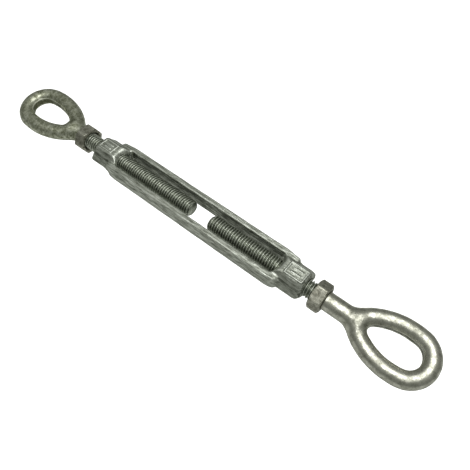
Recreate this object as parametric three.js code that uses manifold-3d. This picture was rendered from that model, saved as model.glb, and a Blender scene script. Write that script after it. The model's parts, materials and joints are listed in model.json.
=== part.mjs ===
// Rigging turnbuckle, eye and eye pattern, 1/2 in thread by 6 in take-up.
//
// A forged open body with a tapped boss at each end, one eye bolt with a
// left-hand thread and one with a right-hand thread, and a lock nut on each bolt.
// Millimetres. X runs along the threads, +X towards the right-hand bolt,
// +Z up, out of the open side of the body. The origin is on the thread axis,
// half way between the far ends of the two eyes.
//
// Each bolt is one forging. It is split here at the thread's run-out, so that the
// shank can slide in the body while the eye turns: together they are a screw.

import * as THREE from "three";
import * as BufferGeometryUtils from "three/addons/utils/BufferGeometryUtils.js";
import { ParametricGeometry } from "three/addons/geometries/ParametricGeometry.js";
import Module from "manifold-3d";

const wasm = await Module();
wasm.setup();

// ---- driving dimensions, mm ----

const TAKE_UP = 152.4;          // clear length of the opening between the bosses
const BOSS_LENGTH = 17.8;
const BOSS_WIDTH = 24.4;        // across the two side ridges, at the parting plane
const BOSS_FLAT = 10.8;         // width of the flat on top and underneath
const BOSS_HEIGHT = 18.1;
const BOSS_ROUND = 1.6;         // rounding of the boss's end edges

const SLOT_WIDTH = 17.6;        // clear width between the rails
const SLOT_END_DEPTH = 5.6;     // how far the slot's rounded end reaches past its side
const RAIL_WIDTH = 4.7;
const RAIL_HEIGHT = 11.8;
const RAIL_ROUND = 1.2;
const SHOULDER_LENGTH = 9.0;    // run over which a boss tapers down into the rails
const OUTLINE_TAPER = 12.0;     // run over which the rails' width narrows to the boss's

const THREAD_RADIUS = 6.2;      // half the major diameter, less the thread's allowance
const RUNNING_GAP = 0.35;       // radial gap of a shank in a tapped bore
const BORE_CHAMFER = 1.2;
const POINT_CHAMFER = 1.4;      // chamfer at a bolt's inner end
const JOINT_GAP = 0.3;          // gap where a bolt is split, and round a nut

const NUT_ACROSS_FLATS = 18.7;
const NUT_THICKNESS = 9.0;
const NUT_CHAMFER = 1.0;

const EYE_BAR_RADIUS = 5.83;
const EYE_BIG_RADIUS = 14.3;    // bar centreline at the eye's outer end
const EYE_SMALL_RADIUS = 9.0;   // bar centreline at the fork
const EYE_LEG_RADIUS = 45.0;    // bar centreline along the two bowed legs
const EYE_CENTRES = 24.6;       // distance between the outer and the fork arc's centres
const NECK_RADIUS = 6.6;
const FORK_LENGTH = 9.0;        // run over which the neck widens into the two legs
const FORK_SPREAD = 6.4;        // how much wider each side gets over that run

// Each bolt, measured outwards from the middle of the body, and the roll of its
// eye and nut about the thread's axis, in degrees.
const LEFT = {
  side: -1,
  rodEnd: 3.0,
  nutGap: 10.9,
  neckLength: 12.0,
  eyeRoll: 6.3,
  nutRoll: -1.1,
};
const RIGHT = {
  side: 1,
  rodEnd: 13.8,
  nutGap: 5.6,
  neckLength: 24.4,
  eyeRoll: 14.4,
  nutRoll: 30.5,
};

// ---- values worked out from them ----

const BODY_HALF = TAKE_UP / 2 + BOSS_LENGTH;
const RAIL_OUTER = SLOT_WIDTH / 2 + RAIL_WIDTH;
const BORE_RADIUS = THREAD_RADIUS + RUNNING_GAP;

function nutInner(bolt) {
  return BODY_HALF + bolt.nutGap;
}

function nutOuter(bolt) {
  return nutInner(bolt) + NUT_THICKNESS;
}

function forkStart(bolt) {
  return nutOuter(bolt) + bolt.neckLength;
}

function reach(bolt) {
  const toBigCentre = forkStart(bolt) + EYE_SMALL_RADIUS + EYE_CENTRES;
  return toBigCentre + EYE_BIG_RADIUS + EYE_BAR_RADIUS;
}

// The middle of the body sits this far along X from the origin.
const BODY_MIDDLE = (reach(LEFT) - reach(RIGHT)) / 2;

// ---- solids ----

function solid(geometry) {
  const bare = geometry.clone();
  bare.deleteAttribute("normal");
  bare.deleteAttribute("uv");
  const merged = BufferGeometryUtils.mergeVertices(bare, 1e-3);
  const mesh = new wasm.Mesh({
    numProp: 3,
    vertProperties: new Float32Array(merged.attributes.position.array),
    triVerts: new Uint32Array(merged.index.array),
  });
  return new wasm.Manifold(mesh);
}

function geometryOf(manifold) {
  const mesh = manifold.getMesh();
  const geometry = new THREE.BufferGeometry();
  geometry.setAttribute("position", new THREE.BufferAttribute(mesh.vertProperties, 3));
  geometry.setIndex(new THREE.BufferAttribute(mesh.triVerts, 1));
  geometry.computeVertexNormals();
  return geometry;
}

// A round bar turned about the X axis; the profile is a list of [x, radius].
function turned(profile, segments) {
  const points = profile.map(([x, radius]) => new THREE.Vector2(radius, x));
  const geometry = new THREE.LatheGeometry(points, segments);
  geometry.rotateZ(-Math.PI / 2);
  return solid(geometry);
}

// A straight bar along Z of the given outline, its edges rounded over, centred on z = 0.
function roundedSlab(shape, height, round, steps) {
  const geometry = new THREE.ExtrudeGeometry(shape, {
    depth: height - 2 * round,
    bevelEnabled: true,
    bevelSize: round,
    bevelThickness: round,
    bevelOffset: -round,
    bevelSegments: steps,
    curveSegments: 10,
  });
  geometry.translate(0, 0, round - height / 2);
  return geometry;
}

// ---- the body forging ----

function bodyOutline() {
  const shape = new THREE.Shape();
  const shoulder = BODY_HALF - BOSS_LENGTH - OUTLINE_TAPER / 3;
  const boss = shoulder + OUTLINE_TAPER;
  const end = BODY_HALF - BOSS_ROUND;
  const narrow = BOSS_WIDTH / 2;
  shape.moveTo(-shoulder, -RAIL_OUTER);
  shape.lineTo(shoulder, -RAIL_OUTER);
  shape.bezierCurveTo(shoulder + 4, -RAIL_OUTER, boss - 4, -narrow, boss, -narrow);
  shape.lineTo(end, -narrow);
  shape.lineTo(end, narrow);
  shape.lineTo(boss, narrow);
  shape.bezierCurveTo(boss - 4, narrow, shoulder + 4, RAIL_OUTER, shoulder, RAIL_OUTER);
  shape.lineTo(-shoulder, RAIL_OUTER);
  shape.bezierCurveTo(-shoulder - 4, RAIL_OUTER, 4 - boss, narrow, -boss, narrow);
  shape.lineTo(-end, narrow);
  shape.lineTo(-end, -narrow);
  shape.lineTo(-boss, -narrow);
  shape.bezierCurveTo(4 - boss, -narrow, -shoulder - 4, -RAIL_OUTER, -shoulder, -RAIL_OUTER);
  return shape;
}

function slotOutline() {
  const shape = new THREE.Shape();
  const half = SLOT_WIDTH / 2;
  const end = TAKE_UP / 2;
  const side = end - SLOT_END_DEPTH;
  shape.moveTo(-side, -half);
  shape.lineTo(side, -half);
  shape.bezierCurveTo(side + 4, -half, end, -half / 2, end, 0);
  shape.bezierCurveTo(end, half / 2, side + 4, half, side, half);
  shape.lineTo(-side, half);
  shape.bezierCurveTo(-side - 4, half, -end, half / 2, -end, 0);
  shape.bezierCurveTo(-end, -half / 2, -side - 4, -half, -side, -half);
  return shape;
}

// Six-sided section of a boss, flat on top and underneath, with a ridge each side.
function bossSection(width, flat, height) {
  return [
    [width / 2, 0],
    [flat / 2, height / 2],
    [-flat / 2, height / 2],
    [-width / 2, 0],
    [-flat / 2, -height / 2],
    [flat / 2, -height / 2],
  ];
}

// A closed solid skinned over like sections that stand at rising x.
function skinned(stations) {
  const positions = [];
  const index = [];
  const count = stations[0].section.length;
  for (const { x, section } of stations) {
    for (const [y, z] of section) positions.push(x, y, z);
  }
  for (let ring = 0; ring + 1 < stations.length; ring += 1) {
    for (let i = 0; i < count; i += 1) {
      const a = ring * count + i;
      const b = ring * count + ((i + 1) % count);
      index.push(a, b, a + count, b, b + count, a + count);
    }
  }
  const last = (stations.length - 1) * count;
  for (let i = 1; i + 1 < count; i += 1) {
    index.push(0, i + 1, i);
    index.push(last, last + i, last + i + 1);
  }
  const geometry = new THREE.BufferGeometry();
  geometry.setAttribute("position", new THREE.Float32BufferAttribute(positions, 3));
  geometry.setIndex(index);
  return geometry;
}

// The boss at +X. It swells out of the rails over the shoulder, runs straight,
// and its outer edges are rounded over in three steps.
function bossSolid() {
  const face = BODY_HALF;
  const root = TAKE_UP / 2 - SHOULDER_LENGTH / 3;
  const railSection = bossSection(2 * RAIL_OUTER, 2 * RAIL_OUTER - 3, RAIL_HEIGHT - 0.6);
  const fullSection = bossSection(BOSS_WIDTH, BOSS_FLAT, BOSS_HEIGHT);
  const stations = [{ x: root - SHOULDER_LENGTH / 2, section: railSection }];
  const steps = 5;
  for (let step = 1; step < steps; step += 1) {
    const along = step / steps;
    const swell = along * along * (3 - 2 * along);
    const section = railSection.map(([y, z], i) => [
      y + (fullSection[i][0] - y) * swell,
      z + (fullSection[i][1] - z) * swell,
    ]);
    stations.push({ x: root - SHOULDER_LENGTH / 2 + SHOULDER_LENGTH * along, section });
  }
  stations.push({ x: root + SHOULDER_LENGTH / 2, section: fullSection });
  for (let step = 0; step <= 3; step += 1) {
    const turn = (step / 3) * (Math.PI / 2);
    const drop = BOSS_ROUND * (1 - Math.cos(turn));
    const section = bossSection(BOSS_WIDTH - 2 * drop, BOSS_FLAT - drop, BOSS_HEIGHT - 2 * drop);
    stations.push({ x: face - BOSS_ROUND * (1 - Math.sin(turn)), section });
  }
  return solid(skinned(stations));
}

function boreCut() {
  const inner = TAKE_UP / 2 - 8;
  const wide = BORE_RADIUS + BORE_CHAMFER;
  const profile = [
    [inner, 0],
    [inner, wide],
    [TAKE_UP / 2, wide],
    [TAKE_UP / 2 + BORE_CHAMFER, BORE_RADIUS],
    [BODY_HALF - BORE_CHAMFER, BORE_RADIUS],
    [BODY_HALF, wide],
    [BODY_HALF + 4, wide],
    [BODY_HALF + 4, 0],
  ];
  return turned(profile, 32);
}

function turnbuckleBody() {
  const frame = solid(roundedSlab(bodyOutline(), RAIL_HEIGHT, RAIL_ROUND, 2));
  const boss = bossSolid();
  const slotGeometry = new THREE.ExtrudeGeometry(slotOutline(), {
    depth: 2 * BOSS_HEIGHT,
    bevelEnabled: false,
    curveSegments: 10,
  });
  slotGeometry.translate(0, 0, -BOSS_HEIGHT);
  const bore = boreCut();
  const blank = frame.add(boss).add(boss.rotate([0, 0, 180]));
  const opened = blank.subtract(solid(slotGeometry));
  const tapped = opened.subtract(bore).subtract(bore.rotate([0, 0, 180]));
  return geometryOf(tapped.translate([BODY_MIDDLE, 0, 0]));
}

// ---- a bolt: threaded shank, and eye on its neck ----

function place(manifold, bolt, roll) {
  const facing = bolt.side < 0 ? manifold.mirror([1, 0, 0]) : manifold;
  const rolled = facing.rotate([roll, 0, 0]);
  return geometryOf(rolled.translate([BODY_MIDDLE, 0, 0]));
}

function shank(bolt) {
  const inner = bolt.rodEnd;
  const outer = nutOuter(bolt) - JOINT_GAP / 2;
  const profile = [
    [inner, 0],
    [inner, THREAD_RADIUS - POINT_CHAMFER],
    [inner + POINT_CHAMFER, THREAD_RADIUS],
    [outer, THREAD_RADIUS],
    [outer, 0],
  ];
  return place(turned(profile, 36), bolt, 0);
}

// The upper half of the bar's centreline, in the eye's own plane, as three arcs
// that run into each other: round the outer end, along a leg, and into the fork.
// The middle of the fork's arc is at (0, 0) and that of the outer arc on the axis.
const legBig = EYE_LEG_RADIUS - EYE_BIG_RADIUS;
const legSmall = EYE_LEG_RADIUS - EYE_SMALL_RADIUS;
const legAlong = (EYE_CENTRES ** 2 + legSmall ** 2 - legBig ** 2) / (2 * EYE_CENTRES);
const legBelow = Math.sqrt(legSmall ** 2 - legAlong ** 2);
const outerTurn = Math.atan2(legBelow, EYE_CENTRES - legAlong);
const forkTurn = Math.atan2(legBelow, -legAlong);
const EYE_ARCS = [
  { x: EYE_CENTRES, y: 0, radius: EYE_BIG_RADIUS, from: 0, to: outerTurn },
  { x: legAlong, y: -legBelow, radius: EYE_LEG_RADIUS, from: outerTurn, to: forkTurn },
  { x: 0, y: 0, radius: EYE_SMALL_RADIUS, from: forkTurn, to: Math.PI },
];

// The point a share t of the way round the closed centreline, from the outer end.
function eyeCentreline(t) {
  const upper = t <= 0.5;
  const lengths = EYE_ARCS.map((arc) => arc.radius * (arc.to - arc.from));
  const half = lengths.reduce((sum, length) => sum + length, 0);
  let rest = half * (upper ? 2 * t : 2 - 2 * t);
  let piece = 0;
  while (piece < EYE_ARCS.length - 1 && rest > lengths[piece]) {
    rest -= lengths[piece];
    piece += 1;
  }
  const arc = EYE_ARCS[piece];
  const angle = arc.from + rest / arc.radius;
  const across = arc.y + arc.radius * Math.sin(angle);
  return [arc.x + arc.radius * Math.cos(angle), upper ? across : -across];
}

function eyeLoop(forkX) {
  const step = 1e-4;
  const surface = (u, v, target) => {
    const [along, across] = eyeCentreline(u);
    const [ahead, side] = eyeCentreline((u + step) % 1);
    const tangent = Math.atan2(side - across, ahead - along);
    const turn = v * 2 * Math.PI;
    const out = EYE_BAR_RADIUS * Math.cos(turn);
    target.set(
      forkX + EYE_SMALL_RADIUS + along + out * Math.sin(tangent),
      across - out * Math.cos(tangent),
      EYE_BAR_RADIUS * Math.sin(turn),
    );
  };
  return solid(new ParametricGeometry(surface, 64, 16));
}

// The flesh between the neck and the two legs: oval sections that widen with a
// hollow curve from the round neck to the width of the fork.
function forkWeb(fork) {
  const count = 24;
  const steps = 6;
  const stations = [];
  for (let step = 0; step <= steps; step += 1) {
    const along = step / steps;
    const halfWidth = NECK_RADIUS - 0.2 + FORK_SPREAD * along * along;
    const halfHeight = NECK_RADIUS - 0.2 - (NECK_RADIUS - EYE_BAR_RADIUS) * along;
    const section = [];
    for (let i = 0; i < count; i += 1) {
      const angle = (i / count) * 2 * Math.PI;
      section.push([halfWidth * Math.cos(angle), halfHeight * Math.sin(angle)]);
    }
    stations.push({ x: fork - FORK_LENGTH + (FORK_LENGTH + 4) * along, section });
  }
  return solid(skinned(stations));
}

function eye(bolt) {
  const inner = nutOuter(bolt) + JOINT_GAP / 2;
  const fork = forkStart(bolt);
  const neck = turned([
    [inner, 0],
    [inner, NECK_RADIUS - 0.4],
    [inner + 0.4, NECK_RADIUS],
    [fork - 3, NECK_RADIUS],
    [fork + 3, NECK_RADIUS + 0.6],
    [fork + 3, 0],
  ], 32);
  const joined = eyeLoop(fork).add(neck).add(forkWeb(fork));
  return place(joined, bolt, bolt.eyeRoll);
}

// ---- a lock nut ----

function lockNut(bolt) {
  const inner = nutInner(bolt);
  const outer = nutOuter(bolt);
  const corner = NUT_ACROSS_FLATS / 2 / Math.cos(Math.PI / 6);
  const hex = new THREE.Shape();
  for (let i = 0; i < 6; i += 1) {
    const angle = (i * Math.PI) / 3;
    const y = corner * Math.cos(angle);
    const z = corner * Math.sin(angle);
    if (i === 0) hex.moveTo(z, y);
    else hex.lineTo(z, y);
  }
  hex.closePath();
  const block = new THREE.ExtrudeGeometry(hex, { depth: NUT_THICKNESS, bevelEnabled: false });
  block.rotateY(Math.PI / 2);
  block.translate(inner, 0, 0);
  const flatRadius = NUT_ACROSS_FLATS / 2;
  const cone = turned([
    [inner, 0],
    [inner, flatRadius - 0.2],
    [inner + NUT_CHAMFER, corner + 0.1],
    [outer - NUT_CHAMFER, corner + 0.1],
    [outer, flatRadius - 0.2],
    [outer, 0],
  ], 36);
  const wide = BORE_RADIUS + 1;
  const bore = turned([
    [inner - 1, 0],
    [inner - 1, wide],
    [inner, wide],
    [inner + 1, BORE_RADIUS],
    [outer - 1, BORE_RADIUS],
    [outer, wide],
    [outer + 1, wide],
    [outer + 1, 0],
  ], 36);
  const nut = solid(block).intersect(cone).subtract(bore);
  return place(nut, bolt, bolt.nutRoll);
}

// ---- the assembly ----

const finishes = {
  body: { color: 0x9a9d94, roughness: 0.55, metalness: 0.9 },
  thread: { color: 0xa2a596, roughness: 0.45, metalness: 0.9 },
  leftEye: { color: 0x8b8d79, roughness: 0.5, metalness: 0.9 },
  rightEye: { color: 0xa9a893, roughness: 0.35, metalness: 0.95 },
  nut: { color: 0x8f8c7e, roughness: 0.5, metalness: 0.9 },
};

const group = new THREE.Group();

function addPart(name, geometry, finish) {
  const mesh = new THREE.Mesh(geometry, new THREE.MeshStandardMaterial(finish));
  mesh.name = name;
  group.add(mesh);
}

addPart("turnbuckle_body", turnbuckleBody(), finishes.body);
addPart("left_shank", shank(LEFT), finishes.thread);
addPart("left_eye", eye(LEFT), finishes.leftEye);
addPart("left_lock_nut", lockNut(LEFT), finishes.nut);
addPart("right_shank", shank(RIGHT), finishes.thread);
addPart("right_eye", eye(RIGHT), finishes.rightEye);
addPart("right_lock_nut", lockNut(RIGHT), finishes.nut);

export default group;
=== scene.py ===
"""Rigging turnbuckle: a galvanised forged body with two eye bolts and two lock nuts.

Every length is in metres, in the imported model's own frame: X along the threads with the
right-hand bolt at +X, Z up out of the open side of the body, the origin on the thread axis.
"""
import json
import math

import bmesh
import bpy
import numpy as np
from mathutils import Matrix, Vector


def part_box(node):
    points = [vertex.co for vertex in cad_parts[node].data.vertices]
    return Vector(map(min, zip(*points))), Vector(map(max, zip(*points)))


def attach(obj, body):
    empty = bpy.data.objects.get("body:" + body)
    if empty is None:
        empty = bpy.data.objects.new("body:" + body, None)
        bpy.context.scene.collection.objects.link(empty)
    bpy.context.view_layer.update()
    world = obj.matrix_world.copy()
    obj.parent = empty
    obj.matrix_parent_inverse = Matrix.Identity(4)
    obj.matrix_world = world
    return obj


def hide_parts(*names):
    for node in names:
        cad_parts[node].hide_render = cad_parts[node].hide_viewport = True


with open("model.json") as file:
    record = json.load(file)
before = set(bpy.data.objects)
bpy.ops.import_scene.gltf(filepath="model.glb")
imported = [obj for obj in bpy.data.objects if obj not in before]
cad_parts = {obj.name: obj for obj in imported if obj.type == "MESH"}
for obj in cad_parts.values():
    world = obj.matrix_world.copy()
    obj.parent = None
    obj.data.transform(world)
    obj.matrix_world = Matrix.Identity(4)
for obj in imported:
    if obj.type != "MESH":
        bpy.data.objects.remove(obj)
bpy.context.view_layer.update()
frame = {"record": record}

bl_info = {
    "name": "Rigging Turnbuckle",
    "version": (1, 0, 0),
    "blender": (4, 5, 0),
    "location": "3D View > Sidebar > Turnbuckle",
    "description": "Makes the forgings, threads, nuts and stage of a rigging turnbuckle",
    "category": "Object",
}

MM = 0.001

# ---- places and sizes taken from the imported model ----

BODY_LOW, BODY_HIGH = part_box("turnbuckle_body")
BODY_MIDDLE = (BODY_LOW.x + BODY_HIGH.x) / 2
BODY_HALF = (BODY_HIGH.x - BODY_LOW.x) / 2
PITCH = 2 * math.pi * frame["record"]["behaviour"]["couplings"][0]["ratio"]
SIDES = {"left": -1, "right": 1}
SHARP_ANGLE = math.radians(48.0)


def along(side, x):
    """Distance of a place on the thread axis from the body's middle, outwards on that side."""
    return SIDES[side] * (x - BODY_MIDDLE)


def reach_of(node, side):
    """Nearest and furthest distance of a node from the body's middle, on its own side."""
    low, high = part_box(node)
    ends = sorted((along(side, low.x), along(side, high.x)))
    return ends[0], ends[1]


# ---- settings a user would change ----


class ForgedBodySettings(bpy.types.PropertyGroup):
    """Sizes of the forged body."""

    window_half: bpy.props.FloatProperty(
        name="Half window", description="Half the length of the open window, at its top edge",
        default=76.2 * MM, unit="LENGTH")
    slot_half: bpy.props.FloatProperty(
        name="Half slot width", description="Half the clear width between the two rails",
        default=8.8 * MM, unit="LENGTH")
    rail_height: bpy.props.FloatProperty(
        name="Rail height", description="Height of a rail", default=11.8 * MM, unit="LENGTH")
    rail_draft: bpy.props.FloatProperty(
        name="Rail draft", description="How much a rail's outside leans in for each unit of height",
        default=0.13, min=0.0)
    left_rail_end: bpy.props.FloatProperty(
        name="Left rail end", description="Where the rails' tops end in the left boss",
        default=81.3 * MM, unit="LENGTH")
    right_rail_end: bpy.props.FloatProperty(
        name="Right rail end", description="Where the rails' tops end in the right boss",
        default=81.0 * MM, unit="LENGTH")
    rail_outer: bpy.props.FloatProperty(
        name="Half width over rails", description="Half the width over the two rails",
        default=BODY_HIGH.y, unit="LENGTH")
    boss_height: bpy.props.FloatProperty(
        name="Boss height", description="Height of a boss over its two flats",
        default=2 * BODY_HIGH.z, unit="LENGTH")
    boss_width: bpy.props.FloatProperty(
        name="Boss width", description="Width of a boss over its two side ridges",
        default=25.8 * MM, unit="LENGTH")
    boss_flat: bpy.props.FloatProperty(
        name="Boss flat", description="Width of the flat on top of a boss, before rounding",
        default=11.0 * MM, unit="LENGTH")
    flash: bpy.props.FloatProperty(
        name="Flash height", description="How proud the trimmed flash stands at the parting line",
        default=0.16 * MM, unit="LENGTH")
    fineness: bpy.props.FloatProperty(
        name="Fineness", description="Edge length of the skin's faces on the bosses",
        default=0.37 * MM, unit="LENGTH")


class EyeBoltSettings(bpy.types.PropertyGroup):
    """Sizes of the two eye bolts."""

    bar_radius: bpy.props.FloatProperty(
        name="Bar radius", description="Radius of the eye's bar", default=5.83 * MM, unit="LENGTH")
    outer_radius: bpy.props.FloatProperty(
        name="Outer arc", description="Radius of the bar's centreline round the far end",
        default=14.3 * MM, unit="LENGTH")
    fork_radius: bpy.props.FloatProperty(
        name="Fork arc", description="Radius of the bar's centreline in the fork",
        default=9.0 * MM, unit="LENGTH")
    leg_radius: bpy.props.FloatProperty(
        name="Leg arc", description="Radius of the bar's centreline along a bowed leg",
        default=45.0 * MM, unit="LENGTH")
    arc_centres: bpy.props.FloatProperty(
        name="Arc centres", description="Distance between the outer and the fork arc's centres",
        default=24.6 * MM, unit="LENGTH")
    neck_radius: bpy.props.FloatProperty(
        name="Neck radius", description="Radius of the round neck behind the nut",
        default=6.5 * MM, unit="LENGTH")
    left_roll: bpy.props.FloatProperty(
        name="Left roll", description="Turn of the left eye about the thread axis",
        default=math.radians(6.3), subtype="ANGLE")
    right_roll: bpy.props.FloatProperty(
        name="Right roll", description="Turn of the right eye about the thread axis",
        default=math.radians(14.4), subtype="ANGLE")
    fineness: bpy.props.FloatProperty(
        name="Fineness", description="Edge length of the skin's faces",
        default=0.42 * MM, unit="LENGTH")


class ThreadSettings(bpy.types.PropertyGroup):
    """Sizes of the cut threads."""

    major_radius: bpy.props.FloatProperty(
        name="Crest radius", description="Radius over the crests", default=6.2 * MM, unit="LENGTH")
    depth: bpy.props.FloatProperty(
        name="Depth", description="Depth from crest to root", default=1.15 * MM, unit="LENGTH")
    clearance: bpy.props.FloatProperty(
        name="Clearance", description="Gap between a thread and its tapped bore",
        default=0.28 * MM, unit="LENGTH")
    rows_per_pitch: bpy.props.IntProperty(
        name="Rows per pitch", description="Rings of faces in one pitch", default=14, min=6)
    columns: bpy.props.IntProperty(
        name="Columns", description="Faces round the thread", default=72, min=24)


class LockNutSettings(bpy.types.PropertyGroup):
    """Sizes of the hexagon lock nuts."""

    across_flats: bpy.props.FloatProperty(
        name="Across flats", description="Width over two opposite flats",
        default=18.7 * MM, unit="LENGTH")
    countersink: bpy.props.FloatProperty(
        name="Countersink", description="How much wider than the thread the bore's mouth is",
        default=1.5 * MM, unit="LENGTH")
    left_roll: bpy.props.FloatProperty(
        name="Left roll", description="Turn of the left nut about the thread axis",
        default=math.radians(-1.1), subtype="ANGLE")
    right_roll: bpy.props.FloatProperty(
        name="Right roll", description="Turn of the right nut about the thread axis",
        default=math.radians(30.5), subtype="ANGLE")


class StageSettings(bpy.types.PropertyGroup):
    """Camera, floor and lights."""

    focal_length: bpy.props.FloatProperty(
        name="Focal length", description="Camera focal length on a 36 mm sensor",
        default=40.58, min=10.0)
    floor_drop: bpy.props.FloatProperty(
        name="Floor drop", description="How far the floor lies under the thread axis",
        default=0.16, unit="LENGTH")
    floor_glow: bpy.props.FloatProperty(
        name="Floor glow", description="Brightness of the white light table under the part",
        default=0.95, min=0.0)
    softbox_power: bpy.props.FloatProperty(
        name="Softbox power", description="Power of the softbox overhead",
        default=3.9, min=0.0, unit="POWER")
    room_light: bpy.props.FloatProperty(
        name="Room light", description="Brightness of the grey room all round", default=1.0, min=0.0)


# ---- shaping helpers ----


def smooth_max(a, b, blend):
    """The larger of two distances, with the corner between them rounded over a width of blend."""
    share = np.clip(0.5 + 0.5 * (a - b) / blend, 0.0, 1.0)
    return b + (a - b) * share + blend * share * (1.0 - share)


def smooth_min(a, b, blend):
    """The smaller of two distances, with the hollow between them filled over a width of blend."""
    return -smooth_max(-a, -b, blend)


def ease(t):
    """Zero below 0, one above 1, and three t squared less two t cubed in between."""
    t = np.clip(t, 0.0, 1.0)
    return t * t * (3.0 - 2.0 * t)


def lumps(x, y, z, grain, seed):
    """Smooth noise from -1 to 1: random values on a lattice of that grain, eased between points."""
    cells = 32
    lattice = np.random.default_rng(seed).uniform(-1.0, 1.0, (cells, cells, cells))
    total = 0.0
    axes = []
    for value in (x, y, z):
        scaled = value / grain
        low = np.floor(scaled)
        axes.append((low.astype(int), ease(scaled - low)))
    for corner in range(8):
        weight = 1.0
        index = []
        for axis, (low, part) in enumerate(axes):
            step = (corner >> axis) & 1
            index.append((low + step) % cells)
            weight = weight * (part if step else 1.0 - part)
        total = total + weight * lattice[index[0], index[1], index[2]]
    return total


def skin(field, xs, ys, zs):
    """Skins the surface where field(x, y, z) is zero, over a box of grid lines.

    Each grid cell that the surface crosses gets one point, the mean of the crossings on its
    edges, and each grid edge that it crosses gets the four-sided face between its four cells.
    The points are then moved along the field's slope until they lie on the surface.
    """
    lines = (xs, ys, zs)
    values = field(*np.meshgrid(xs, ys, zs, indexing="ij"))
    inside = values < 0.0
    cells = tuple(len(line) - 1 for line in lines)
    points = np.zeros(cells + (3,))
    counts = np.zeros(cells)
    for axis in range(3):
        others = [a for a in range(3) if a != axis]
        for corner in range(4):
            start = [slice(0, n) for n in cells]
            for bit, other in enumerate(others):
                step = (corner >> bit) & 1
                start[other] = slice(step, cells[other] + step)
            stop = list(start)
            stop[axis] = slice(1, cells[axis] + 1)
            first, second = values[tuple(start)], values[tuple(stop)]
            crossed = inside[tuple(start)] != inside[tuple(stop)]
            gap = np.where(crossed, first - second, 1.0)
            share = np.where(crossed, first / gap, 0.0)
            counts += crossed
            for place in range(3):
                shape = [1, 1, 1]
                shape[place] = -1
                line = lines[place]
                here = line[start[place]].reshape(shape)
                if place == axis:
                    ahead = line[stop[place]].reshape(shape)
                    here = here + share * (ahead - here)
                points[..., place] += np.where(crossed, here, 0.0)
    used = counts > 0
    number = np.full(cells, -1)
    number[used] = np.arange(used.sum())
    vertices = points[used] / counts[used][:, None]
    faces = []
    for axis in range(3):
        first, second = (axis + 1) % 3, (axis + 2) % 3
        span = [slice(1, n) for n in cells]
        span[axis] = slice(0, cells[axis])
        ahead = list(span)
        ahead[axis] = slice(1, cells[axis] + 1)
        leaving = inside[tuple(span)] & ~inside[tuple(ahead)]
        entering = ~inside[tuple(span)] & inside[tuple(ahead)]
        ring = []
        for back_first, back_second in ((1, 1), (0, 1), (0, 0), (1, 0)):
            part = list(span)
            part[first] = slice(1 - back_first, cells[first] - back_first)
            part[second] = slice(1 - back_second, cells[second] - back_second)
            ring.append(number[tuple(part)])
        ring = np.stack(ring, axis=-1)
        faces.append(ring[leaving])
        faces.append(ring[entering][:, ::-1])
    return settled(field, vertices, xs[1] - xs[0]), np.concatenate(faces)


def slope(field, points, step):
    """The field's slope at each point, by differences over a small step each way."""
    columns = []
    for axis in range(3):
        offset = np.zeros(3)
        offset[axis] = step
        ahead = field(*(points + offset).T)
        behind = field(*(points - offset).T)
        columns.append((ahead - behind) / (2.0 * step))
    return np.stack(columns, axis=1)


def settled(field, points, reach):
    """Points moved down the field's slope to where it is zero, in three short steps."""
    for _ in range(3):
        value = field(*points.T)
        steep = slope(field, points, 0.02 * MM)
        length = np.maximum((steep**2).sum(axis=1), 0.2)
        points = points - np.clip(value / length, -reach, reach)[:, None] * steep
    return points


def bend_of(field, points):
    """How sharply the surface bends out (above 0.5) or in (below it), from the field's curvature."""
    step = 0.45 * MM
    around = -6.0 * field(*points.T)
    for axis in range(3):
        offset = np.zeros(3)
        offset[axis] = step
        around = around + field(*(points + offset).T) + field(*(points - offset).T)
    return np.clip(0.5 + around / step * 0.3, 0.0, 1.0)


def grid_faces(rows, columns):
    """Four-sided faces of a grid of rings that each close on themselves."""
    row, column = np.meshgrid(np.arange(rows - 1), np.arange(columns), indexing="ij")
    ahead = (column + 1) % columns
    faces = [row * columns + column, row * columns + ahead,
             (row + 1) * columns + ahead, (row + 1) * columns + column]
    return np.stack(faces, axis=-1).reshape(-1, 4)


def rolled(points, angle):
    """Points turned about the X axis."""
    c, s = math.cos(angle), math.sin(angle)
    x, y, z = points.T
    return np.stack([x, c * y - s * z, s * y + c * z], axis=1)


def make_piece(name, vertices, faces, body, material, nodes, wear_and_shade=None):
    """Makes a smooth-shaded mesh piece that rides on a body and stands for CAD nodes.

    Where given, the last argument is each point's tone, from 0 for painted shade in hollows
    to 1 for worn edges and painted highlights.
    """
    mesh = bpy.data.meshes.new(name)
    mesh.from_pydata(vertices.tolist(), [], faces)
    shell = bmesh.new()
    shell.from_mesh(mesh)
    bmesh.ops.recalc_face_normals(shell, faces=shell.faces)
    shell.to_mesh(mesh)
    shell.free()
    mesh.polygons.foreach_set("use_smooth", np.ones(len(mesh.polygons), bool))
    mesh.set_sharp_from_angle(angle=SHARP_ANGLE)
    if wear_and_shade is not None:
        # per-point tone: worn edges, painted shade in hollows, painted highlights
        attribute = mesh.attributes.new("wear_and_shade", "FLOAT", "POINT")
        attribute.data.foreach_set("value", wear_and_shade.astype(np.float32))
    mesh.materials.append(material)
    mesh.update()
    piece = bpy.data.objects.new(name, mesh)
    bpy.context.scene.collection.objects.link(piece)
    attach(piece, body)
    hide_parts(*nodes)
    return piece


# ---- materials ----


def linear(hex_colour):
    """An sRGB hex colour as linear red, green, blue and a full alpha."""
    channels = []
    for start in (1, 3, 5):
        value = int(hex_colour[start:start + 2], 16) / 255.0
        low = value / 12.92
        high = ((value + 0.055) / 1.055) ** 2.4
        channels.append(low if value <= 0.04045 else high)
    return (*channels, 1.0)


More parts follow.
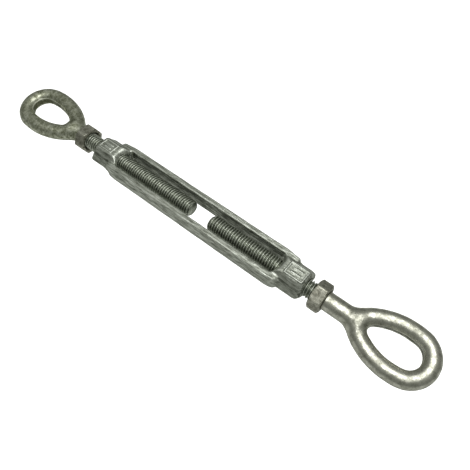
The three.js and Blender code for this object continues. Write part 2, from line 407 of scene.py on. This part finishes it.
def add_node(tree, kind, settings=None, inputs=None, links=None, stops=()):
    """Adds a shader node, sets its properties and inputs, and links sockets into it.

    The stops are the (place, hex colour) pairs of a node that has a colour ramp.
    """
    node = tree.nodes.new(kind)
    for key, value in (settings or {}).items():
        setattr(node, key, value)
    for key, value in (inputs or {}).items():
        node.inputs[key].default_value = value
    for key, socket in (links or {}).items():
        tree.links.new(socket, node.inputs[key])
    for number, (place, colour) in enumerate(stops):
        elements = node.color_ramp.elements
        element = elements[number] if number < len(elements) else elements.new(1.0)
        element.position = place
        element.color = linear(colour)
    return node


SPECKLE_GRAIN = 0.9 * MM
SPECKLE_SHARE = 0.45  # strength of the speckle beside the patches
WEAR_AND_SHADE_SHARE = 0.5  # strength of edge wear and painted shade in hollows beside the mottling
USUAL_WEAR_AND_SHADE = 0.97  # mottling, wear and painted shade together, on an even surface


def galvanised_steel(name, dark, middle, light, rough, grain_mm, streak=1.0, relief=0.12,
                     spread=0.2):
    """Hot-dip galvanised forged steel: zinc mottled by the steel's scale, satin where it is light.

    Patches grain_mm wide go from the dark to the light colour, a finer speckle breaks them up,
    a per-point tone from each piece makes worn outer edges lighter and puts painted shade in
    hollows, and a relief in millimetres gives the zinc its skin. The streak draws the patches
    out along the threads. A wide spread softens the change from dark to light.
    """
    material = bpy.data.materials.new(name)
    material.use_nodes = True
    tree = material.node_tree
    shader = tree.nodes["Principled BSDF"]
    place = add_node(tree, "ShaderNodeTexCoord").outputs["Object"]
    stretched = add_node(tree, "ShaderNodeMapping", inputs={"Scale": (1.0 / streak, 1.0, 1.0)},
                         links={"Vector": place}).outputs["Vector"]
    patches = add_node(tree, "ShaderNodeTexNoise", inputs={
        "Scale": 1.0 / (grain_mm * MM), "Detail": 5.0, "Roughness": 0.62},
        links={"Vector": stretched}).outputs["Fac"]
    speckle = add_node(tree, "ShaderNodeTexNoise", inputs={
        "Scale": 1.0 / SPECKLE_GRAIN, "Detail": 3.0, "Roughness": 0.7},
        links={"Vector": stretched}).outputs["Fac"]
    mixed = add_node(tree, "ShaderNodeMath", {"operation": "MULTIPLY_ADD"},
                     {1: SPECKLE_SHARE}, {0: speckle, 2: patches}).outputs["Value"]
    # per-point tone: worn edges lighter, painted shade in hollows, painted highlights on lips
    wear_and_shade = add_node(tree, "ShaderNodeAttribute", {"attribute_name": "wear_and_shade"}).outputs["Fac"]
    worn_and_shaded = add_node(tree, "ShaderNodeMath", {"operation": "MULTIPLY_ADD"},
                    {1: WEAR_AND_SHADE_SHARE}, {0: wear_and_shade, 2: mixed}).outputs["Value"]
    wear_and_shade_level = add_node(tree, "ShaderNodeMapRange", inputs={
        "From Min": USUAL_WEAR_AND_SHADE - spread, "From Max": USUAL_WEAR_AND_SHADE + spread},
        links={"Value": worn_and_shaded}).outputs["Result"]
    colour = add_node(tree, "ShaderNodeValToRGB", links={"Fac": wear_and_shade_level},
                      stops=((0.0, dark), (0.5, middle), (1.0, light))).outputs["Color"]
    tree.links.new(colour, shader.inputs["Base Color"])
    roughness = add_node(tree, "ShaderNodeMapRange", inputs={
        "From Min": 0.6, "From Max": 0.85, "To Min": rough + 0.1, "To Max": rough - 0.08},
        links={"Value": mixed}).outputs["Result"]
    tree.links.new(roughness, shader.inputs["Roughness"])
    bump = add_node(tree, "ShaderNodeBump", inputs={"Strength": 1.0, "Distance": relief * MM},
                    links={"Height": mixed}).outputs["Normal"]
    tree.links.new(bump, shader.inputs["Normal"])
    shader.inputs["Metallic"].default_value = 1.0
    return material


def body_steel():
    """Hot-dip galvanised forging, weathered: even grey with a lengthwise forged grain."""
    return galvanised_steel("Hot-dip galvanised forged steel, weathered",
                            "#6e7267", "#b2b6aa", "#e4e8de", 0.46, 1.5, streak=6.0, relief=0.2)


def left_eye_steel():
    """Hot-dip galvanised forging, dull: olive grey with coarse darker mottling."""
    return galvanised_steel("Hot-dip galvanised forged steel, dull",
                            "#63664e", "#adb09a", "#e8ead8", 0.42, 2.8, relief=0.16,
                            spread=0.22)


def right_eye_steel():
    """Hot-dip galvanised forging, bright: smooth zinc with a few specks."""
    return galvanised_steel("Hot-dip galvanised forged steel, bright",
                            "#6c6e60", "#c0c0b2", "#f0f0e4", 0.32, 4.0, relief=0.07,
                            spread=0.3)


def thread_steel():
    """Galvanised cut thread: light crests, and painted shade that darkens the roots."""
    return galvanised_steel("Galvanised cut thread", "#454a40", "#a9aea0", "#eef2e6", 0.4, 2.0,
                            spread=0.35)


def nut_steel():
    """Galvanised hexagon nut: satin zinc, warmer than the forgings."""
    return galvanised_steel("Galvanised hexagon nut", "#605f52", "#9f9e90", "#d2d1c3", 0.4, 2.4,
                            relief=0.1, spread=0.26)


def stage_white(glow):
    """Matt white acrylic of a light table, which gives back a little light of its own."""
    material = bpy.data.materials.new("Matt white acrylic light table")
    material.use_nodes = True
    shader = material.node_tree.nodes["Principled BSDF"]
    shader.inputs["Base Color"].default_value = linear("#f4f4f2")
    shader.inputs["Roughness"].default_value = 0.8
    shader.inputs["Emission Color"].default_value = linear("#ffffff")
    shader.inputs["Emission Strength"].default_value = glow
    return material


# ---- the body forging ----


CREST_FLATNESS = 1.25


def thread_radius(x, angle, hand, settings):
    """Radius of a cut thread: a cosine along the helix, pressed towards flat crests and roots."""
    phase = (x - BODY_MIDDLE) / PITCH - hand * angle / (2.0 * math.pi)
    wave = np.tanh(CREST_FLATNESS * np.cos(2.0 * math.pi * phase)) / math.tanh(CREST_FLATNESS)
    return settings.major_radius - settings.depth / 2.0 * (1.0 - wave)


RAIL_CROWN = 0.45 * MM  # how far the draft carries a rail's outside out at the parting plane
RAIL_TAPER = 1.1 * MM  # how much the rails draw in towards the bosses
TAPER_START = 68.0 * MM
TAPER_LENGTH = 13.0 * MM
SLOT_DRAFT = 0.04
FRONT_RAIL_SHORTER = 2.5 * MM  # the rail at -Y ends sooner than the one at +Y, and more softly
FRONT_END_BLEND = 6.0 * MM
BACK_END_BLEND = 2.5 * MM


def rail_field(x, y, z, sizes):
    """Distance to the two rails: bars with draft on both sides of the parting plane, which draw
    in towards the bosses and end in them."""
    ax, ay, az = np.abs(x), np.abs(y), np.abs(z)
    narrow = RAIL_TAPER * ease((ax - TAPER_START) / TAPER_LENGTH)
    outer = ay - (sizes.rail_outer + RAIL_CROWN - sizes.rail_draft * az - narrow)
    inner = sizes.slot_half + SLOT_DRAFT * az - ay
    top = az - sizes.rail_height / 2.0
    bar = smooth_max(smooth_max(outer, inner, 0.8 * MM), top, 0.9 * MM)
    front = y < 0.0
    reach = np.where(x < 0.0, sizes.left_rail_end, sizes.right_rail_end)
    reach = reach - FRONT_RAIL_SHORTER * front
    return smooth_max(bar, ax - reach, np.where(front, FRONT_END_BLEND, BACK_END_BLEND))


RIDGE_CUT = 0.25 * MM  # how much the sharp side ridges of a boss are trimmed
BOSS_END_BLEND = 4.2 * MM
SCOOP_DEPTH = 6.5 * MM  # how far the window reaches into a boss at the thread axis
SCOOP_BOW = 1.5 * MM


def boss_field(x, y, z, sizes):
    """Distance to the two bosses: flat top, two slanted sides, rounded end, scooped inner end."""
    ax, ay, az = np.abs(x), np.abs(y), np.abs(z)
    half_width, half_height = sizes.boss_width / 2.0, sizes.boss_height / 2.0
    run = half_width - sizes.boss_flat / 2.0
    length = math.hypot(run, half_height)
    side = (half_height * (ay - half_width) + run * az) / length
    prism = smooth_max(side, az - half_height, 1.0 * MM)
    prism = smooth_max(prism, ay - half_width + RIDGE_CUT, 1.2 * MM)
    end = smooth_max(prism, ax - BODY_HALF, BOSS_END_BLEND)
    drop = np.clip(1.0 - az / half_height, 0.0, 1.0)
    scoop = SCOOP_DEPTH * drop**0.5 + SCOOP_BOW * (ay / sizes.slot_half) ** 2
    return smooth_max(end, sizes.window_half - scoop - ax, 1.0 * MM)


BORE_START = 71.0 * MM  # the bores' inner mouths, from the body's middle
MOUTH_DEPTH = 0.9 * MM
MOUTH_LIMIT = 1.2 * MM


def bore_field(x, y, z, thread):
    """Distance to the two tapped bores: the thread's own form with a gap, a cone at each mouth."""
    radius = np.hypot(y, z)
    hand = np.sign(x)
    tapped = thread_radius(x + BODY_MIDDLE, np.arctan2(z, y), hand, thread) + thread.clearance
    inset = np.minimum(BODY_HALF - np.abs(x), np.abs(x) - BORE_START)
    flare = np.clip(MOUTH_DEPTH - inset, -MM, MOUTH_LIMIT)
    cone = thread.major_radius + thread.clearance + flare
    return radius - np.maximum(tapped, cone)


MARK_HEIGHT = 0.42 * MM
MARK_LINE = 0.45 * MM  # half the width of a raised line
MARK_EDGE = 0.55 * MM  # width of the slope beside a raised line
MARK_INSET = 9.3 * MM  # from a boss's end to the middle of its frame
MARK_FRAMES = ((-1, 5.6 * MM, 4.1 * MM), (1, 6.6 * MM, 4.7 * MM))  # side, half length, half width


def bar_mark(x, y, centre, half_length, half_width, across=0.0):
    """Distance to a plain raised bar on the top of a boss."""
    return np.maximum(np.abs(x - centre) - half_length, np.abs(y - across) - half_width)


def marks(x, y, z, sizes):
    """Height of the plain raised frames on top of the bosses: a border and two bars, no letters."""
    height = 0.0
    for side, half_length, half_width in MARK_FRAMES:
        centre = side * (BODY_HALF - MARK_INSET)
        border = np.abs(bar_mark(x, y, centre, half_length, half_width)) - MARK_LINE
        first = bar_mark(x, y, centre, half_length * 0.55, MARK_LINE, half_width * 0.36)
        second = bar_mark(x, y, centre, half_length * 0.55, MARK_LINE, -half_width * 0.36)
        nearest = np.minimum(border, np.minimum(first, second))
        height = height + ease(0.5 - nearest / MARK_EDGE)
    return MARK_HEIGHT * height * (z > 0.0)


def body_field(x, y, z, sizes, thread):
    """Distance to the body forging, with its flash, raised frames and hammered skin."""
    rail = rail_field(x, y, z, sizes)
    solid = smooth_min(rail, boss_field(x, y, z, sizes), 1.8 * MM)
    solid = solid - sizes.flash * np.exp(-(z / (0.5 * MM)) ** 2)
    solid = solid - marks(x, y, z, sizes)
    rough = 0.08 * MM * lumps(x / 4.0, y, z, 2.0 * MM, 11)
    rough = rough + 0.05 * MM * lumps(x / 2.0, y, z, 1.0 * MM, 12)
    return smooth_max(solid + rough, -bore_field(x, y, z, thread), 0.35 * MM)


def body_wear_and_shade(x, y, z, sizes):
    """Tone added to the edges': bright worn marks, lighter flash, painted shade on window walls."""
    raised = marks(x, y, z, sizes) / MARK_HEIGHT
    flash = np.exp(-(z / (0.7 * MM)) ** 2)
    # painted shade: the walls inside the window are darkened
    inside = np.abs(np.abs(y) - sizes.slot_half) < 0.7 * MM
    inside &= np.abs(z) < sizes.rail_height / 2.0 - 0.6 * MM
    return 0.3 * raised + 0.2 * flash - 0.3 * inside


EVEN_MARGIN = 15.0 * MM  # the rails are even up to this far from the window's ends
EVEN_LINES = 110


def body_grid(sizes):
    """Grid lines for the body: fine over the bosses, long steps along the even rails."""
    fine = sizes.fineness
    edge = BODY_HALF + 3 * fine
    start = sizes.window_half - EVEN_MARGIN
    end_lines = np.arange(start, edge, fine)
    middle = np.linspace(-start, start, EVEN_LINES)[1:-1]
    xs = np.concatenate([-end_lines[::-1], middle, end_lines])
    ys = np.arange(-sizes.rail_outer - 3 * fine, sizes.rail_outer + 4 * fine, fine)
    half = sizes.boss_height / 2.0
    zs = np.arange(-half - 3 * fine, half + 4 * fine, fine)
    return xs, ys, zs


class TURNBUCKLE_OT_body(bpy.types.Operator):
    """Makes the forged body with its two bosses, rails and tapped bores."""

    bl_idname = "turnbuckle.body"
    bl_label = "Forged Body"

    def execute(self, context):
        sizes = context.scene.turnbuckle_body
        thread = context.scene.turnbuckle_thread

        def field(x, y, z):
            return body_field(x, y, z, sizes, thread)

        vertices, faces = skin(field, *body_grid(sizes))
        # worn edges lighter, painted shade in hollows and on the window's walls
        wear_and_shade = bend_of(field, vertices) + body_wear_and_shade(*vertices.T, sizes)
        wear_and_shade = np.clip(wear_and_shade, 0.0, 1.0)
        vertices[:, 0] += BODY_MIDDLE
        make_piece("body_forging", vertices, faces.tolist(), "body", body_steel(),
                   ["turnbuckle_body"], wear_and_shade)
        return {"FINISHED"}


# ---- the eye bolts ----


def eye_arcs(sizes):
    """The bar's centreline as three tangent arcs: (centre along, centre across, radius, from, to)."""
    big = sizes.leg_radius - sizes.outer_radius
    small = sizes.leg_radius - sizes.fork_radius
    apart = sizes.arc_centres
    foot = (apart**2 + small**2 - big**2) / (2.0 * apart)
    below = math.sqrt(small**2 - foot**2)
    outer_turn = math.atan2(below, apart - foot)
    fork_turn = math.atan2(below, -foot)
    return [
        (apart, 0.0, sizes.outer_radius, 0.0, outer_turn),
        (foot, -below, sizes.leg_radius, outer_turn, fork_turn),
        (0.0, 0.0, sizes.fork_radius, fork_turn, math.pi),
    ]


def centreline_distance(along_axis, across, sizes):
    """Signed distance in the eye's plane to its centreline: below zero inside the eye."""
    across = np.abs(across)
    best = np.full(np.shape(along_axis), 1.0)
    for x, y, radius, start, stop in eye_arcs(sizes):
        angle = np.arctan2(across - y, along_axis - x)
        off = np.hypot(along_axis - x, across - y) - radius
        inside_sector = (angle >= start - 1e-9) & (angle <= stop + 1e-9)
        nearer = inside_sector & (np.abs(off) < np.abs(best))
        best = np.where(nearer, off, best)
    return best


BAND_DEPTH = 0.75 * MM  # how deep the sheared band inside an eye is cut into the round bar
LIP_HEIGHT = 0.4 * MM
LIP_PLACE = 2.6 * MM  # from the eye's middle plane to a lip of the band
NECK_SETBACK = 2.5 * MM  # from the fork's arc back to the round end of the neck
FORK_BLEND = 6.0 * MM
EYE_FLASH = 0.13 * MM
EYE_HALF_SPAN = 15.6 * MM  # room for the bar's centreline each side of the thread axis


def facing_hole(off):
    """One on the part of the bar that faces the eye's hole, zero on the rest of it."""
    return ease(-off / MM - 3.0)


def eye_field(x, y, z, sizes, neck_length, seed):
    """Distance to an eye forging, x outwards from the middle of the fork's arc, eye in the XY plane.

    A round bar bent to the centreline runs with a wide hollow curve into the round neck. The
    trimmed flash stands proud round the outside, and the inside is sheared flat between two lines.
    """
    off = centreline_distance(x, y, sizes)
    bar = np.hypot(off, z) - sizes.bar_radius
    flat = -off - (sizes.bar_radius - BAND_DEPTH)
    bar = smooth_max(bar, np.where(off < 0.0, flat, -1.0), 0.15 * MM)
    lips = np.exp(-((np.abs(z) - LIP_PLACE) / (0.4 * MM)) ** 2) * facing_hole(off)
    bar = bar - LIP_HEIGHT * lips
    neck_end = -sizes.fork_radius - NECK_SETBACK
    past = np.maximum(x - neck_end, 0.0)
    neck = np.sqrt(y**2 + z**2 + past**2) - sizes.neck_radius
    start = -sizes.fork_radius - neck_length
    neck = smooth_max(neck, start - 0.6 * MM - x, 0.8 * MM)
    solid = smooth_min(bar, neck, FORK_BLEND)
    outside = ease((off + 1.0 * MM) / (2.0 * MM)) + ease((neck_end - x) / (3.0 * MM))
    solid = solid - EYE_FLASH * np.exp(-(z / (0.6 * MM)) ** 2) * np.clip(outside, 0.0, 1.0)
    rough = 0.07 * MM * lumps(x, y, z, 3.0 * MM, seed)
    return solid + rough + 0.03 * MM * lumps(x, y, z, 1.0 * MM, seed + 1)


def band_painted_light(x, y, z, sizes):
    """Painted highlights on the two lips of an eye's sheared band, painted shade between them."""
    lips = np.exp(-((np.abs(z) - 2.7 * MM) / (0.5 * MM)) ** 2)
    between = 1.0 - ease((np.abs(z) - 1.6 * MM) / (0.6 * MM))
    return facing_hole(centreline_distance(x, y, sizes)) * (0.55 * lips - 0.55 * between)


def eye_piece(side, context):
    """Makes one eye forging, from inside its lock nut to the far end of the eye."""
    sizes = context.scene.turnbuckle_bolt
    node = side + "_eye"
    near, far = reach_of(node, side)
    fork = far - sizes.bar_radius - sizes.outer_radius - sizes.arc_centres
    neck_length = fork - sizes.fork_radius - near
    seed = 21 if side == "left" else 31

    def field(x, y, z):
        return eye_field(x, y, z, sizes, neck_length, seed)

    fine = sizes.fineness
    wide = EYE_HALF_SPAN + sizes.bar_radius
    deep = sizes.neck_radius + 2.0 * MM
    xs = np.arange(near - fork - 2.0 * MM, far - fork + 3 * fine, fine)
    ys = np.arange(-wide, wide + fine, fine)
    zs = np.arange(-deep, deep + fine, fine)
    vertices, faces = skin(field, xs, ys, zs)
    # worn edges lighter, painted shade in hollows, painted highlight and shade on the band
    wear_and_shade = bend_of(field, vertices) + band_painted_light(*vertices.T, sizes)
    wear_and_shade = np.clip(wear_and_shade, 0.0, 1.0)
    vertices[:, 0] += fork
    if side == "left":
        vertices[:, 0] *= -1.0
    roll = sizes.left_roll if side == "left" else sizes.right_roll
    vertices = rolled(vertices, roll)
    vertices[:, 0] += BODY_MIDDLE
    material = left_eye_steel() if side == "left" else right_eye_steel()
    make_piece(side + "_eye_forging", vertices, faces.tolist(), side + "_eye_body", material,
               [node], wear_and_shade)


THREAD_OVERLAP = 0.6 * MM  # how far the thread runs on into the neck
RUN_OUT_START = 2.4 * MM
RUN_OUT_LENGTH = 1.8 * MM
POINT_CHAMFER = 1.6 * MM


def thread_piece(side, context):
    """Makes one threaded shank: rings of points at the thread's radius, which shrinks to a cut
    point at the inner end and runs out into the neck at the outer end."""
    thread = context.scene.turnbuckle_thread
    bolt = context.scene.turnbuckle_bolt
    near, far = reach_of(side + "_shank", side)
    far = far + THREAD_OVERLAP
    rows = int((far - near) / PITCH * thread.rows_per_pitch)
    columns = thread.columns
    angle = np.arange(columns) * (2.0 * math.pi / columns)
    distance, angle = np.meshgrid(np.linspace(near, far, rows), angle, indexing="ij")
    x = BODY_MIDDLE + SIDES[side] * distance
    radius = thread_radius(x, angle, SIDES[side], thread)
    run_out = ease((distance - far + RUN_OUT_START) / RUN_OUT_LENGTH)
    radius = radius + (bolt.neck_radius - 0.5 * MM - radius) * run_out
    # painted shade: darker towards the thread roots, lighter towards the crests
    wear_and_shade = 0.15 + 0.7 * (radius - thread.major_radius + thread.depth) / thread.depth
    radius = np.minimum(radius, thread.major_radius - POINT_CHAMFER + distance - near)
    points = np.stack([x, radius * np.cos(angle), radius * np.sin(angle)], axis=-1)
    faces = grid_faces(rows, columns).tolist()
    faces.append(list(range(columns)))
    faces.append(list(range((rows - 1) * columns, rows * columns)))
    make_piece(side + "_thread", points.reshape(-1, 3), faces, side + "_eye_body", thread_steel(),
               [side + "_shank"], np.clip(wear_and_shade, 0.0, 1.0).reshape(-1))


class TURNBUCKLE_OT_bolts(bpy.types.Operator):
    """Makes the two eye bolts: an eye forging and a threaded shank on each side."""

    bl_idname = "turnbuckle.bolts"
    bl_label = "Eye Bolts"

    def execute(self, context):
        for side in SIDES:
            eye_piece(side, context)
            thread_piece(side, context)
        return {"FINISHED"}


# ---- the lock nuts ----


CORNER_SHARPNESS = 36.0
NUT_COLUMNS = 192
NUT_THREAD_ROWS = 34
NUT_CLEARANCE = 0.25 * MM
NUT_THREAD_DEPTH = 0.45 * MM
CHAMFER_SLOPE = math.tan(math.radians(30.0))


def hexagon_radius(angle, sizes):
    """Distance from the axis to a hexagon with rounded corners, by a soft maximum over its flats."""
    flats = np.arange(6) * math.pi / 3.0 + math.pi / 6.0
    facing = np.clip(np.cos(angle[..., None] - flats), 1e-6, None)
    soft = (facing**CORNER_SHARPNESS).sum(axis=-1) ** (1.0 / CORNER_SHARPNESS)
    return sizes.across_flats / 2.0 / soft


def nut_rings(near, far, bore, hexagon, sizes):
    """Rings of a nut as (distance, radius) pairs: up the inner end from the bore's countersink,
    over a 30 degree chamfer to the flats, across them, and down the outer end the same way."""
    mouth = bore + sizes.countersink
    face = sizes.across_flats / 2.0 - 0.35 * MM
    rise = hexagon - face
    end = [(0.8 * sizes.countersink, bore), (0.12 * MM, mouth - 0.25 * MM), (0.0, mouth)]
    end += [(0.0, mouth + (face - mouth) * share) for share in (0.15, 0.5, 0.85)]
    end += [(0.0, face - 0.15 * MM), (0.05 * MM, face + 0.08 * MM)]
    end += [(rise * share * CHAMFER_SLOPE + 0.03 * MM, face + rise * share)
            for share in (0.35, 0.7, 0.95)]
    end += [(rise * CHAMFER_SLOPE + 0.2 * MM, hexagon)]
    rings = [(near + depth, radius) for depth, radius in end]
    outer = [(far - depth, radius) for depth, radius in reversed(end)]
    start, stop = rings[-1][0], outer[0][0]
    rings += [(start + (stop - start) * share, hexagon) for share in (0.15, 0.3, 0.5, 0.7, 0.85)]
    return rings + outer


def nut_piece(side, context):
    """Makes one lock nut as closed rings of points over its ends and flats and through its bore."""
    sizes = context.scene.turnbuckle_nut
    thread = context.scene.turnbuckle_thread
    near, far = reach_of(side + "_lock_nut", side)
    angle = np.arange(NUT_COLUMNS) * (2.0 * math.pi / NUT_COLUMNS)
    hexagon = hexagon_radius(angle, sizes)
    bore = thread.major_radius + NUT_CLEARANCE
    rings = nut_rings(near, far, bore, hexagon, sizes)
    inner = np.linspace(far - sizes.countersink, near + sizes.countersink, NUT_THREAD_ROWS)
    for distance in inner[1:-1]:
        turn = 2.0 * math.pi * distance / PITCH - angle
        groove = NUT_THREAD_DEPTH * (0.5 + 0.5 * np.cos(turn))
        rings.append((distance, bore + groove))
    distance = np.array([along_axis + 0.0 * angle for along_axis, _ in rings])
    radius = np.array([out + 0.0 * angle for _, out in rings])
    seed = 41 if side == "left" else 42
    across, up = radius * np.cos(angle), radius * np.sin(angle)
    radius = radius + 0.06 * MM * lumps(distance, across, up, 1.6 * MM, seed)
    x = SIDES[side] * distance
    points = np.stack([x, radius * np.cos(angle), radius * np.sin(angle)], axis=-1)
    rows = len(rings)
    faces = grid_faces(rows + 1, NUT_COLUMNS) % (rows * NUT_COLUMNS)
    flat = sizes.across_flats / 2.0
    # lighter towards the hexagon's corners; painted shade darkens the bore and its countersink
    wear_and_shade = 0.45 + 0.4 * np.clip((radius - flat) / (hexagon.max() - flat), 0.0, 1.0)
    wear_and_shade = wear_and_shade - 0.4 * (radius < bore + sizes.countersink - 0.1 * MM)
    roll = sizes.left_roll if side == "left" else sizes.right_roll
    points = rolled(points.reshape(-1, 3), roll)
    points[:, 0] += BODY_MIDDLE
    make_piece(side + "_hexagon_nut", points, faces.tolist(), side + "_nut_body", nut_steel(),
               [side + "_lock_nut"], wear_and_shade.reshape(-1))


class TURNBUCKLE_OT_nuts(bpy.types.Operator):
    """Makes the two hexagon lock nuts."""

    bl_idname = "turnbuckle.nuts"
    bl_label = "Lock Nuts"

    def execute(self, context):
        for side in SIDES:
            nut_piece(side, context)
        return {"FINISHED"}


# ---- the stage ----


CAMERA_PLACE = (0.14973, -0.16275, 0.29773)
CAMERA_DEGREES = (34.39, -1.77, 38.65)
FLOOR_HALF = 3.0
SOFTBOX_PLACE = (0.16, -0.05, 0.85)
SOFTBOX_WIDTH = 0.8
ROOM_SHADES = (
    (0.0, "#8a8c88"),
    (0.08, "#b4b6b2"),
    (0.3, "#b8bab6"),
    (0.44, "#9a9c98"),
    (0.52, "#747672"),
    (0.7, "#80827e"),
    (1.0, "#aaaca8"),
)  # grey of the room from straight down, through level, to straight up


def make_camera(scene, focal_length):
    """Makes the scene's camera."""
    data = bpy.data.cameras.new("camera")
    data.lens = focal_length
    data.sensor_width = 36.0
    data.clip_start = 0.01
    camera = bpy.data.objects.new("camera", data)
    scene.collection.objects.link(camera)
    camera.location = CAMERA_PLACE
    camera.rotation_euler = [math.radians(degrees) for degrees in CAMERA_DEGREES]
    scene.camera = camera


def make_floor(scene, drop, glow):
    """Makes the white light table under the part, which is left out of the metal's reflections."""
    half = FLOOR_HALF
    corners = [(-half, -half), (half, -half), (half, half), (-half, half)]
    mesh = bpy.data.meshes.new("floor")
    mesh.from_pydata([(x, y, -drop) for x, y in corners], [], [(0, 1, 2, 3)])
    mesh.materials.append(stage_white(glow))
    floor = bpy.data.objects.new("floor", mesh)
    scene.collection.objects.link(floor)
    floor.visible_glossy = False


def make_softbox(scene, power):
    """Makes the square softbox overhead, facing the origin."""
    data = bpy.data.lights.new("softbox_overhead", "AREA")
    data.size = SOFTBOX_WIDTH
    data.energy = power
    light = bpy.data.objects.new("softbox_overhead", data)
    scene.collection.objects.link(light)
    x, y, z = SOFTBOX_PLACE
    light.location = SOFTBOX_PLACE
    yaw = math.atan2(-y, -x)
    tilt = math.acos(z / math.hypot(x, y, z))
    light.rotation_euler = (0.0, -tilt, yaw + math.pi)


def make_room(scene, brightness):
    """Makes the grey room all round, whose shade depends on the height it is seen at."""
    world = bpy.data.worlds.new("grey_room")
    world.use_nodes = True
    tree = world.node_tree
    background = tree.nodes["Background"]
    direction = add_node(tree, "ShaderNodeTexCoord").outputs["Generated"]
    height = add_node(tree, "ShaderNodeSeparateXYZ", links={"Vector": direction}).outputs["Z"]
    level = add_node(tree, "ShaderNodeMapRange", inputs={"From Min": -1.0},
                     links={"Value": height}).outputs["Result"]
    shade = add_node(tree, "ShaderNodeValToRGB", links={"Fac": level},
                     stops=ROOM_SHADES).outputs["Color"]
    tree.links.new(shade, background.inputs["Color"])
    background.inputs["Strength"].default_value = brightness
    scene.world = world


class TURNBUCKLE_OT_stage(bpy.types.Operator):
    """Makes the camera, the white floor and the soft studio light."""

    bl_idname = "turnbuckle.stage"
    bl_label = "Stage"

    def execute(self, context):
        stage = context.scene.turnbuckle_stage
        scene = context.scene
        make_camera(scene, stage.focal_length)
        make_floor(scene, stage.floor_drop, stage.floor_glow)
        make_softbox(scene, stage.softbox_power)
        make_room(scene, stage.room_light)
        scene.view_settings.view_transform = "Standard"
        return {"FINISHED"}


class TURNBUCKLE_PT_panel(bpy.types.Panel):
    """Lists the turnbuckle's operators and settings in the sidebar."""

    bl_idname = "TURNBUCKLE_PT_panel"
    bl_label = "Rigging Turnbuckle"
    bl_space_type = "VIEW_3D"
    bl_region_type = "UI"
    bl_category = "Turnbuckle"

    def draw(self, context):
        for operator, groups in STEPS:
            box = self.layout.box()
            box.operator(operator)
            for group in groups:
                settings = getattr(context.scene, group)
                for name in settings.bl_rna.properties.keys():
                    if name not in ("rna_type", "name"):
                        box.prop(settings, name)


# each operator with the settings shown under it
STEPS = (
    ("turnbuckle.stage", ("turnbuckle_stage",)),
    ("turnbuckle.body", ("turnbuckle_body",)),
    ("turnbuckle.bolts", ("turnbuckle_bolt", "turnbuckle_thread")),
    ("turnbuckle.nuts", ("turnbuckle_nut",)),
)

GROUPS = {
    "turnbuckle_body": ForgedBodySettings,
    "turnbuckle_bolt": EyeBoltSettings,
    "turnbuckle_thread": ThreadSettings,
    "turnbuckle_nut": LockNutSettings,
    "turnbuckle_stage": StageSettings,
}

CLASSES = (
    TURNBUCKLE_OT_stage,
    TURNBUCKLE_OT_body,
    TURNBUCKLE_OT_bolts,
    TURNBUCKLE_OT_nuts,
    TURNBUCKLE_PT_panel,
)


def register():
    """Registers the settings, the operators and the panel."""
    for name, group in GROUPS.items():
        bpy.utils.register_class(group)
        setattr(bpy.types.Scene, name, bpy.props.PointerProperty(type=group))
    for cls in CLASSES:
        bpy.utils.register_class(cls)


def unregister():
    """Takes away what register() added."""
    for cls in reversed(CLASSES):
        bpy.utils.unregister_class(cls)
    for name, group in GROUPS.items():
        delattr(bpy.types.Scene, name)
        bpy.utils.unregister_class(group)


def main():
    """Makes the stage and every piece."""
    register()
    bpy.ops.turnbuckle.stage()
    bpy.ops.turnbuckle.body()
    bpy.ops.turnbuckle.bolts()
    bpy.ops.turnbuckle.nuts()


if __name__ == "__main__":
    main()
